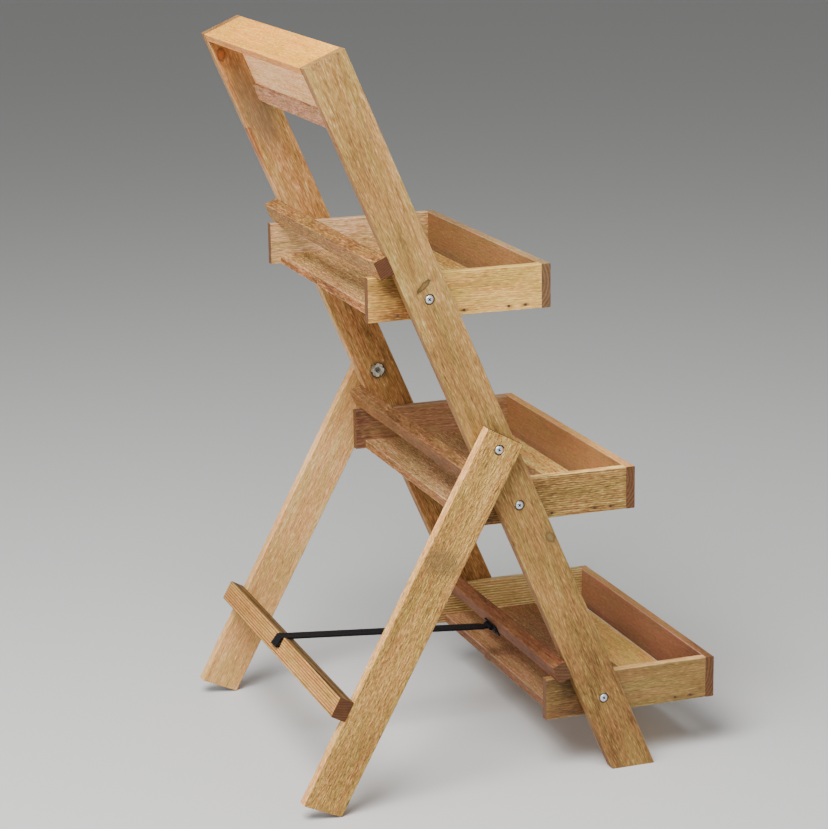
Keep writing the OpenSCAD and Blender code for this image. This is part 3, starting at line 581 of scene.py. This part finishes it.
def pine_material(node, kind, seed, **changes):
    """Stained pine for one board, with its own log, tone, knots and wear, and with painted light and shade
    along it, on its thin sides and as a painted highlight along its edges.
    """
    grain = {**GRAIN, **changes}
    tint = TINTS[node]
    wood = bpy.context.scene.stand_wood
    centre, half, turn = board_place(node, kind)
    turn_back = turn.transposed().to_euler()
    material, g, shader = new_material("pine_" + node)
    where = g.node("TexCoord")
    local = g.node("Mapping", {"Vector": where.outputs["Object"], "Location": centre, "Rotation": turn_back},
                   vector_type="TEXTURE").outputs[0]
    normal = g.node("Mapping", {"Vector": where.outputs["Normal"], "Rotation": turn_back},
                    vector_type="TEXTURE").outputs[0]
    knots = []
    bend = 0.0
    for at, radii, angle, colours in grain["knots"]:
        knot = use_group(g, "Knot", {
            "Vector": local, "Centre": at, "Size": radii, "Turn": math.radians(angle)})
        bend = g.math("ADD", bend, knot["Bend"])
        knots.append((knot, colours))
    ring = use_group(g, "Pine rings", {
        "Vector": local, "Pith": (0, *grain["pith"]), "Slope": (0, *grain["slope"]),
        "Spacing": grain["spacing"] * wood.ring_spacing, "Waver": grain["waver"],
        "Sharp": grain["sharp"], "Seed": seed, "Bend": bend})
    fibre = use_group(g, "Wood fibres", {"Vector": local, "Seed": seed})
    patch = use_group(g, "Stain patches", {"Vector": local, "Seed": seed})
    edge = use_group(g, "Board edges", {
        "Vector": local, "Normal": normal, "Half Size": half, "Width": wood.edge_wear_and_highlight, "Seed": seed})

    grit = grain["grit"]
    strengths = [
        (fibre["Fine"], grit * grain["fine"]),
        (fibre["Fleck"], grit * grain["fleck"]),
        (fibre["Streak"], grain["streak"]),
        (patch["Wide"], grain["patches"]),
        (patch["Small"], SMALL_PATCHES * grit * grain["patches"]),
        (ring["Tone"], grain["years"] * grain["rings"]),
    ]
    height = g.math("MULTIPLY", ring["Late"], RING_HEIGHT)
    height = g.math("MULTIPLY_ADD", fibre["Fine"], FIBRE_HEIGHT, height)
    if grain["fuzz"]:
        sawn = use_group(g, "Sawn fuzz", {"Vector": local, "Seed": seed})
        strengths.append((sawn["Fleck"], grain["fuzz"]))
        height = g.math("MULTIPLY_ADD", sawn["Height"], SAWN_HEIGHT, height)
    level = MIDDLE_TONE + grain["tone"] - 0.5 * sum(amount for _, amount in strengths)
    for mask, amount in strengths:
        level = g.math("MULTIPLY_ADD", mask, amount, level)
    level = g.math("MULTIPLY_ADD", ring["Late"], -grain["rings"], level)
    level = g.math("MULTIPLY_ADD", fibre["Dash"], -grit * grain["dashes"], level)
    level = g.math("MULTIPLY_ADD", fibre["Chip"], grit * grain["chips"], level)
    # steps of tone along the board, which also paint shade, such as a darker stile foot or a tray side's
    # rear end behind the stile
    if grain["shades"]:
        steps = grain["shades"]
        reach = g.band(g.parts(local)[0], -half[0], half[0], smooth=False)
        reach = g.math("MULTIPLY_ADD", g.math("SUBTRACT", patch["Wide"], 0.5), SHADE_DRIFT, reach)
        shade = g.ramp(reach, [(i / (len(steps) - 1), 0.5 + step) for i, step in enumerate(steps)])
        level = g.math("ADD", level, g.math("SUBTRACT", shade, 0.5))
    stains = (wood.deep, wood.brown, wood.honey, wood.light, wood.cream)
    base = g.ramp(level, list(zip(TONE_STOPS, stains)))
    base = g.mix(1.0, base, g.mix(patch["Hue"], PINK_STAIN, GREEN_STAIN), "MULTIPLY")
    base = g.mix(1.0, base, tint, "MULTIPLY")
    for knot, (heart, tips) in knots:
        base = g.mix(g.math("MULTIPLY", knot["Halo"], HALO_STRENGTH), base, heart)
        inside = g.mix(knot["Tip"], heart, tips)
        base = g.mix(g.math("MULTIPLY", knot["Heart"], HEART_STRENGTH), base, inside)
    for at, radii, shade, amount in grain["spots"]:
        stain = use_group(g, "Stain spot", {"Vector": local, "Centre": at, "Size": radii})
        base = g.mix(g.math("MULTIPLY", stain["Mask"], amount), base, shade)
    # the pale line along the long edges: worn stain and a painted highlight where the eased edge catches the
    # light
    wear_and_highlight = g.band(edge["High"], 0, 1, *grain["edges"], smooth=False)
    wear_and_highlight = g.math("MULTIPLY", edge["Edge"], wear_and_highlight)
    # painted light and shade on the thin sides, by the side multiplier
    if grain["side"]:
        base = g.mix(edge["Side"], base, g.mix(1.0, base, grain["side"], "MULTIPLY"))
    base = g.mix(wear_and_highlight, base, g.mix(1.0, wood.cream, tint, "MULTIPLY"))
    end = g.mix(ring["Late"], wood.end_grain, [PALE_END_RING * a for a in wood.end_grain])
    end = g.mix(g.math("MULTIPLY", patch["Small"], END_BLOTCHES), end, wood.brown)
    end = g.mix(1.0, end, grain["end_tint"], "MULTIPLY")
    base = g.mix(g.math("MULTIPLY", edge["End"], grain["ends"]), base, end)
    base = g.vector("MINIMUM", base, (1, 1, 1))
    g.put(shader.inputs["Base Color"], base)
    smoothest, roughest = (wood.roughness + change for change in ROUGHNESS_SPREAD)
    rough = g.band(patch["Small"], 0, 1, smoothest, roughest)
    g.put(shader.inputs["Roughness"], g.math("MULTIPLY_ADD", ring["Late"], RING_ROUGHNESS, rough))
    bump = g.node("Bump", {"Height": height, "Strength": grain["bump"], "Distance": GRAIN_DEPTH})
    g.put(shader.inputs["Normal"], bump.outputs[0])
    shader.inputs["Specular IOR Level"].default_value = WOOD_SPECULAR
    dress(node, material)


# painted shade in a bolt's cross recess and on its shank's end inside the T-nut
RECESS_SHADE = (0.012, 0.022, 0.040)
TIP_SHADE = (0.09, 0.095, 0.07)
# painted highlight on a T-nut's lips, and painted shade round its barrel
PAINTED_LIP_HIGHLIGHT = (0.98, 0.95, 0.85)
COLLAR_SHADE = (0.09, 0.085, 0.065)
DENT_SHADE = 0.32  # times the metal's own colour
DENT_STRENGTH = 0.7
DULL_STRENGTH = 0.6
SCRATCH_STRENGTH = 0.35
DULL_ROUGHNESS = 0.2  # added where the metal is dull
RECESS_ROUGHNESS = 0.4  # added in a bolt's recess
WEAR_DEPTH = 0.0002
DOME_DEPTH = 0.0016
STAMPED_DEPTH = 0.0010


def metal_material(
    name, base, dull, roughness, metallic=1.0, specular=0.5, scratch=None, head=None, tip=0.0, nut=None
):
    """Metal or painted metal with dull patches and fine scratches.

    head is a bolt's axis and the plane of its head; tip is how dark the far end of its shank is painted, as
    painted shade inside the T-nut's bore; nut is a T-nut's axis.
    """
    material, g, shader = new_material(name)
    where = g.node("TexCoord")
    wear = use_group(g, "Metal wear", {"Vector": where.outputs["Object"]})
    shade = g.mix(g.math("MULTIPLY", wear["Dull"], DULL_STRENGTH), base, dull)
    shade = g.mix(g.math("MULTIPLY", wear["Scratch"], SCRATCH_STRENGTH), shade, scratch or dull)
    rough = g.band(wear["Dull"], 0, 1, roughness, min(1, roughness + DULL_ROUGHNESS))
    bump = g.node("Bump", {"Height": wear["Dull"], "Strength": 0.2, "Distance": WEAR_DEPTH})
    if head:
        axis, face = head
        shape = use_group(g, "Bolt head", {"Vector": where.outputs["Object"], "Axis": axis, "Face": face})
        shade = g.mix(shape["Recess"], shade, RECESS_SHADE)
        shade = g.mix(g.math("MULTIPLY", shape["Tip"], tip), shade, TIP_SHADE)
        rough = g.math("MULTIPLY_ADD", shape["Recess"], RECESS_ROUGHNESS, rough)
        bump = g.node("Bump", {"Height": shape["Dome"], "Strength": 1.0, "Distance": DOME_DEPTH,
                               "Normal": bump.outputs[0]})
    if nut:
        flange = use_group(g, "Nut flange", {"Vector": where.outputs["Object"], "Axis": nut})
        dented = [DENT_SHADE * a for a in base]
        shade = g.mix(g.math("MULTIPLY", flange["Relief"], DENT_STRENGTH), shade, dented)
        # painted highlight on the lips beside the notches, then painted shade round the barrel
        shade = g.mix(flange["LipHighlight"], shade, PAINTED_LIP_HIGHLIGHT)
        shade = g.mix(flange["Shade"], shade, COLLAR_SHADE)
        bump = g.node("Bump", {"Height": flange["Relief"], "Strength": 1.0, "Distance": STAMPED_DEPTH,
                               "Normal": bump.outputs[0]})
    g.put(shader.inputs["Base Color"], shade)
    g.put(shader.inputs["Roughness"], rough)
    g.put(shader.inputs["Normal"], bump.outputs[0])
    shader.inputs["Metallic"].default_value = metallic
    shader.inputs["Specular IOR Level"].default_value = specular
    return material


# ---- operators ----

EFFECTS = (build_rings, build_fibres, build_patches, build_edges, build_knot, build_stain_spot, build_fuzz,
           build_wear, build_bolt_head, build_nut_flange)


class STAND_OT_effects(bpy.types.Operator):
    """Builds the shared effects of the wood and the metal"""

    bl_idname = "stand.effects"
    bl_label = "Shared effects"

    def execute(self, context):
        for build in EFFECTS:
            build()
        return {"FINISHED"}


class STAND_OT_stiles(bpy.types.Operator):
    """Dresses the two front stiles"""

    bl_idname = "stand.stiles"
    bl_label = "Stiles"

    def execute(self, context):
        # The steps of tone paint shade: the stiles are darker towards the foot, where the trays shade them;
        # the side multiplier paints light and shade on their thin sides.
        pine_material(
            "stile_left", "stile", 1.0, pith=(0.012, -0.036), slope=(0.008, 0.02), rings=0.08, patches=0.26,
            shades=(-0.26, -0.14, -0.08, -0.05, 0.03, 0.05, 0.03, 0.05), edges=(0.5, 0.1),
            side=(0.75, 0.64, 0.66), ends=0.3,
            knots=[((0.2125, 0.0, 0.009), (0.0125, 0.0040, 0.03), 70, DARK_KNOT),
                   ((-0.158, -0.0196, 0.009), (0.0088, 0.0062, 0.03), -15, OLIVE_KNOT)])
        olive_figure = ((0.40, 0.004, 0.009), (0.065, 0.020, 0.03), (0.21, 0.145, 0.075), 0.6)
        red_edge = ((0.345, 0.027, 0.009), (0.03, 0.0035, 0.02), (0.30, 0.085, 0.024), 0.8)
        # painted shade: a dark ring on the stile round the T-nut's recess
        painted_shade_round_nut = ((-0.0142, 0.0, 0.009), (0.0125, 0.0125, 0.010), (0.04, 0.024, 0.012), 0.85)
        pine_material(
            "stile_right", "stile", 2.0, pith=(-0.006, -0.022), slope=(0.03, -0.05), rings=0.16,
            patches=0.34, tone=-0.06, grit=1.1, waver=0.03, spacing=0.8,
            shades=(-0.08, -0.05, -0.11, 0.06, 0.10, 0.20, 0.06, -0.02), side=(1.0, 1.04, 1.25), ends=0.3,
            knots=[((0.480, 0.0183, 0.009), (0.010, 0.006, 0.014), 20, RED_KNOT),
                   ((0.371, 0.026, 0.009), (0.006, 0.004, 0.014), 0, RED_KNOT),
                   ((-0.1, -0.01, -0.009), (0.008, 0.006, 0.012), 0, DARK_KNOT)],
            spots=[olive_figure, red_edge, painted_shade_round_nut])
        return {"FINISHED"}


class STAND_OT_top(bpy.types.Operator):
    """Dresses the cap, the panel and the rail between the stiles' upper ends"""

    bl_idname = "stand.top"
    bl_label = "Cap, panel and rail"

    def execute(self, context):
        # the side multiplier paints light and shade on the thin sides of the cap and the rail
        pine_material("top_cap", "cap", 3.0, pith=(0.01, -0.06), tone=0.20, rings=0.06, patches=0.14,
                      side=(0.84, 0.77, 1.5), grit=0.85)
        pine_material("top_panel", "bar", 4.0, pith=(0.3, 0.3), tone=0.26, rings=0.03, patches=0.16,
                      grit=1.1, dashes=0.08)
        pine_material("top_rail", "bar", 5.0, pith=(0.03, 0.04), tone=0.08, rings=0.10, grit=1.6,
                      shades=(0.02, 0.0, 0.02), side=(1.0, 1.25, 1.6))
        return {"FINISHED"}


class STAND_OT_battens(bpy.types.Operator):
    """Dresses the three crossbars and the batten that joins the rear legs"""

    bl_idname = "stand.battens"
    bl_label = "Crossbars and batten"

    def execute(self, context):
        # The lower crossbars are painted darker by tone and tint, as painted shade under the trays; the
        # crossbars' thin sides are painted lighter and the batten's darker, as painted light and shade; the
        # steps of tone carry painted shade too.
        pine_material(
            "crossbar_top", "bar", 6.0, pith=(0.15, -0.03), slope=(0.01, 0.01), tone=-0.04,
            waver=0.008, spacing=0.6, grit=1.5, edges=(0.1, 0.2),
            shades=(0.02, -0.02, -0.03, -0.03, -0.03), end_tint=(0.75, 0.65, 0.6))
        pine_material(
            "crossbar_middle", "bar", 7.0, pith=(0.1, 0.03), rings=0.16, tone=-0.14, waver=0.01, grit=1.25,
            edges=(0.0, 0.15), shades=(-0.1, 0.02, 0.02, 0.08, 0.1), side=(1.1, 1.25, 1.45))
        pine_material(
            "crossbar_bottom", "bar", 8.0, pith=(0.08, 0.05), rings=0.10, tone=-0.28, grit=0.7,
            edges=(0.0, 0.1), shades=(-0.05, 0.04, 0.04, 0.02), side=(1.15, 1.35, 1.6),
            end_tint=(0.8, 0.8, 0.8))
        pine_material(
            "rear_batten", "batten", 9.0, pith=(0.16, -0.05), slope=(0.004, 0.0), rings=1.3, tone=0.24,
            spacing=0.72, sharp=1.3, years=0.04, grit=0.8, waver=0.0015, edges=(0.2, 0.0),
            side=(0.36, 0.38, 0.42), end_tint=(0.75, 0.65, 0.55))
        return {"FINISHED"}


class STAND_OT_legs(bpy.types.Operator):
    """Dresses the two rough-sawn rear legs"""

    bl_idname = "stand.legs"
    bl_label = "Rear legs"

    def execute(self, context):
        dark_patch = ((0.086, 0.002, 0.008), (0.018, 0.026, 0.02), (0.17, 0.105, 0.038), 0.6)
        # the side multiplier paints light on the legs' thin sides, the rear edge that faces the light; the
        # steps of tone carry painted shade along them
        pine_material(
            "rear_leg_left", "leg", 10.0, pith=(0.01, 0.06), fuzz=0.45, rings=0.04, grit=0.9,
            shades=(-0.03, -0.05, 0.0, 0.04, -0.08, 0.02, 0.09, 0.02), edges=(0.0, 0.0),
            side=(1.75, 1.62, 2.15), bump=1.0, spots=[dark_patch])
        pine_material(
            "rear_leg_right", "leg", 11.0, pith=(0.02, 0.05), fuzz=0.10, rings=0.05, grit=0.8, tone=0.12,
            shades=(-0.03, -0.04, -0.03, 0.03, 0.05, 0.02, 0.0, -0.08), edges=(0.1, 0.0),
            side=(1.15, 1.14, 1.25), bump=0.4)
        return {"FINISHED"}


# What differs from tray to tray and from board to board. The steps of tone paint shade: a rear end that lies
# behind the stile is painted darker as the stile's shadow, and so is a front board's near end beside the
# side; the side multiplier paints the sides' top edges lighter and the floors' edges darker.
STRAIGHT = {"waver": 0.006, "pith": (-0.14, 0.03), "slope": (0.02, 0.0)}
FLAT = {"patches": 0.10, "rings": 0.04, "streak": 0.05, "grit": 0.45}
TRAY_BOARDS = {
    "tray_top_side_left": {
        **STRAIGHT, "tone": 0.06, "rings": 0.20, "spacing": 0.6, "grit": 0.9, "years": 0.2,
        "shades": (0.09, 0.05, 0.01, 0.06, -0.65, -0.10)},
    "tray_top_side_right": {
        **STRAIGHT, "tone": 0.14, "rings": 0.06, "spacing": 0.6, "grit": 1.2,
        "shades": (-0.2, -0.04, 0.0, 0.08, 0.14, -0.12)},
    "tray_top_front": {
        **FLAT, "tone": -0.10, "grit": 0.55, "shades": (0.0, 0.09, 0.02, -0.07, -0.13),
        "side": (1.3, 1.6, 1.9), "end_tint": (1.2, 1.5, 1.7)},
    "tray_top_floor_front": {"tone": -0.02, "rings": 0.16, "grit": 2.0},
    "tray_top_floor_rear": {"rings": 0.20, "grit": 2.0, "side": (0.62, 0.45, 0.38)},
    "tray_middle_side_left": {
        **STRAIGHT, "tone": -0.06, "rings": 0.52, "spacing": 0.60, "waver": 0.003, "years": 0.15,
        "grit": 1.3, "shades": (0.0, -0.01, 0.03, 0.02, -0.25, 0.0), "side": (3.0, 3.1, 3.2)},
    "tray_middle_side_right": {
        **STRAIGHT, "tone": -0.10, "waver": 0.030, "grit": 0.8,
        "shades": (0.16, 0.22, 0.18, 0.06, -0.04, -0.40)},
    "tray_middle_front": {
        **FLAT, "tone": -0.06, "shades": (-0.15, 0.01, 0.0, 0.0, -0.03), "side": (1.9, 2.0, 1.6)},
    "tray_middle_floor_front": {"tone": 0.14, "grit": 1.7},
    "tray_middle_floor_rear": {"tone": 0.02, "grit": 1.6, "side": (0.62, 0.5, 0.42)},
    "tray_bottom_side_left": {
        **STRAIGHT, "tone": -0.06, "rings": 0.07, "spacing": 0.6, "grit": 0.8,
        "shades": (-0.04, -0.01, 0.06, 0.05, -0.45, -0.25), "side": (2.1, 2.1, 2.45)},
    "tray_bottom_side_right": {
        **STRAIGHT, "tone": 0.02, "rings": 0.65, "spacing": 0.8, "grit": 0.7, "years": 0.2,
        "shades": (0.24, 0.22, 0.2, 0.08, -0.16, -0.34)},
    "tray_bottom_front": {
        **FLAT, "tone": -0.16, "shades": (-0.40, -0.12, 0.03, 0.08, 0.12), "side": (1.42, 1.6, 1.12)},
    "tray_bottom_floor_front": {
        "tone": 0.16, "rings": 0.10, "grit": 0.9, "shades": (-0.08, -0.06, 0.02, 0.08, 0.12)},
    "tray_bottom_floor_rear": {
        "tone": -0.04, "rings": 0.10, "grit": 1.15, "shades": (0.09, 0.06, 0.0, -0.05, -0.03, 0.08),
        "side": (0.53, 0.44, 0.38)},
}
FIRST_TRAY_SEED = 21.0  # the boards of the frame and the legs have the seeds below this one


class STAND_OT_trays(bpy.types.Operator):
    """Dresses the sides, front and floor boards of the three trays"""

    bl_idname = "stand.trays"
    bl_label = "Trays"

    def execute(self, context):
        for step, (node, changes) in enumerate(TRAY_BOARDS.items()):
            level, part = node.split("_", 2)[1:]
            spots = ()
            if part.startswith("side"):
                spots = nail_spots(f"tray_{level}_nails", node, -1 if part == "side_left" else 1)
            pine_material(node, part.split("_")[0], FIRST_TRAY_SEED + step, spots=spots, **changes)
        return {"FINISHED"}


BOLT_NODES = ("leg_bolts", "tray_top_bolts", "tray_middle_bolts", "tray_bottom_bolts")
DULLED = 0.6  # times the bright metal's colour
TIP_SHADE_STRENGTH = 0.8
BARE_STEEL = (0.03, 0.03, 0.035)
NAIL_RUST = (0.05, 0.03, 0.018)


def bolt_axis(node):
    """A point on the shared axis of the left and right bolts, and how far out their heads lie."""
    points = [v.co for v in NODES[node].data.vertices]
    middle = [0.5 * (min(p[i] for p in points) + max(p[i] for p in points)) for i in (1, 2)]
    return (0, *middle), max(abs(p.x) for p in points)


class STAND_OT_hardware(bpy.types.Operator):
    """Dresses the bolts, nuts, washers, nails and the stay"""

    bl_idname = "stand.hardware"
    bl_label = "Hardware"

    def execute(self, context):
        metal = context.scene.stand_metal
        dulled = [DULLED * a for a in metal.zinc]
        for node in BOLT_NODES:
            # the shank's end of the leg bolts is painted dark: painted shade inside the T-nut's bore
            tip = TIP_SHADE_STRENGTH if node == "leg_bolts" else 0.0
            dress(node, metal_material(
                "zinc_" + node, metal.zinc, dulled, metal.zinc_roughness, metallic=0.75,
                head=bolt_axis(node), tip=tip))
        zinc = metal_material("zinc", metal.zinc, dulled, metal.zinc_roughness)
        bright = metal_material(
            "bright_zinc", metal.bright, [0.75 * a for a in metal.bright], 0.35, metallic=0.25,
            nut=bolt_axis("leg_tnuts")[0])
        black = metal_material(
            "black_steel", metal.black, [2.2 * a for a in metal.black], 0.5, metallic=0.0,
            specular=0.10, scratch=BARE_STEEL)
        stained = metal_material(
            "stained_nails", metal.stained, [DULLED * a for a in metal.stained], 0.6, metallic=0.0,
            specular=0.3)
        nail = metal_material("nail_steel", metal.nail, NAIL_RUST, 0.6, metallic=0.1, specular=0.2)
        for node in NODES:
            if node.endswith("_nails"):
                dress(node, nail if node.startswith("tray_") else stained)
            elif node == "leg_tnuts":
                dress(node, bright)
            elif node.endswith(("_washers", "_inserts")):
                dress(node, zinc)
            elif node.startswith("stay_"):
                dress(node, black)
        return {"FINISHED"}


LIT_POINT = (0, 0, 0.5)
FLOOR_ROUGHNESS = 0.7
CAMERA_AZIMUTH = math.radians(-109.45075)  # 0 is the front, 90 the +X side
CAMERA_RISE = math.radians(14.40617)
CAMERA_ROLL = math.radians(-0.92704)
CAMERA_X = -3.03698
CAMERA_BEHIND_BOLT = 1.095505  # behind the rear legs' bolt
CAMERA_HEIGHT = 1.26552
SENSOR_WIDTH = 36  # mm


def soft_light(name, at, width, power):
    """A square light that shines at the middle of the stand."""
    data = bpy.data.lights.new(name, "AREA")
    data.shape = "SQUARE"
    data.size = width
    data.energy = power
    lamp = bpy.data.objects.new(name, data)
    bpy.context.scene.collection.objects.link(lamp)
    lamp.location = at
    lamp.visible_camera = False
    lamp.rotation_euler = (Vector(LIT_POINT) - Vector(at)).to_track_quat("-Z", "Y").to_euler()


class STAND_OT_stage(bpy.types.Operator):
    """Adds the plain floor, the soft lights and the camera"""

    bl_idname = "stand.stage"
    bl_label = "Stage"

    def execute(self, context):
        scene = context.scene
        stage = scene.stand_stage
        mesh = bpy.data.meshes.new("floor")
        bm = bmesh.new()
        bmesh.ops.create_grid(bm, x_segments=1, y_segments=1, size=stage.floor_radius)
        bm.to_mesh(mesh)
        bm.free()
        floor = bpy.data.objects.new("floor", mesh)
        scene.collection.objects.link(floor)
        material, _, shader = new_material("studio_floor")
        shader.inputs["Base Color"].default_value = (*stage.floor, 1)
        shader.inputs["Roughness"].default_value = FLOOR_ROUGHNESS
        mesh.materials.append(material)
        world = bpy.data.worlds.new("studio")
        world.use_nodes = True
        background = world.node_tree.nodes["Background"]
        background.inputs["Color"].default_value = (1, 1, 1, 1)
        background.inputs["Strength"].default_value = stage.sky
        scene.world = world
        soft_light("key_light", (-1.30, 1.20, 2.75), 1.7, stage.key_power)
        soft_light("rear_light", (-0.55, 3.0, 1.15), 1.8, stage.rear_power)
        soft_light("fill_light", (-2.8, -1.5, 1.3), 2.2, stage.fill_power)

        level = math.cos(CAMERA_RISE)
        back = Vector((
            math.sin(CAMERA_AZIMUTH) * level, -math.cos(CAMERA_AZIMUTH) * level, math.sin(CAMERA_RISE)))
        side = (-back).cross(Vector((0, 0, 1))).normalized()
        above = side.cross(-back)
        right = math.cos(CAMERA_ROLL) * side + math.sin(CAMERA_ROLL) * above
        up = math.cos(CAMERA_ROLL) * above - math.sin(CAMERA_ROLL) * side
        data = bpy.data.cameras.new("photo_camera")
        data.sensor_width = SENSOR_WIDTH
        data.sensor_fit = "HORIZONTAL"
        data.lens = stage.lens
        camera = bpy.data.objects.new("photo_camera", data)
        scene.collection.objects.link(camera)
        place = Matrix((right, up, back)).transposed().to_4x4()
        place.translation = (CAMERA_X, LEG_BOLT[1] + CAMERA_BEHIND_BOLT, CAMERA_HEIGHT)
        camera.matrix_world = place
        scene.camera = camera
        return {"FINISHED"}


STEPS = [STAND_OT_effects, STAND_OT_stiles, STAND_OT_top, STAND_OT_battens, STAND_OT_legs, STAND_OT_trays,
         STAND_OT_hardware, STAND_OT_stage]


class STAND_PT_panel(bpy.types.Panel):
    """Lists the stand's pieces and their colours"""

    bl_idname = "STAND_PT_panel"
    bl_label = "Plant stand"
    bl_space_type = "VIEW_3D"
    bl_region_type = "UI"
    bl_category = "Plant stand"

    def draw(self, context):
        for step in STEPS:
            self.layout.operator(step.bl_idname)
        for group in (context.scene.stand_wood, context.scene.stand_metal, context.scene.stand_stage):
            box = self.layout.box()
            for name in group.__annotations__:
                box.prop(group, name)


CLASSES = [StandWood, StandMetal, StandStage, *STEPS, STAND_PT_panel]


def register():
    for item in CLASSES:
        bpy.utils.register_class(item)
    bpy.types.Scene.stand_wood = bpy.props.PointerProperty(type=StandWood)
    bpy.types.Scene.stand_metal = bpy.props.PointerProperty(type=StandMetal)
    bpy.types.Scene.stand_stage = bpy.props.PointerProperty(type=StandStage)


def unregister():
    for name in ("stand_wood", "stand_metal", "stand_stage"):
        delattr(bpy.types.Scene, name)
    for item in reversed(CLASSES):
        bpy.utils.unregister_class(item)


def main():
    register()
    for step in STEPS:
        family, name = step.bl_idname.split(".")
        getattr(getattr(bpy.ops, family), name)()


if __name__ == "__main__":
    main()
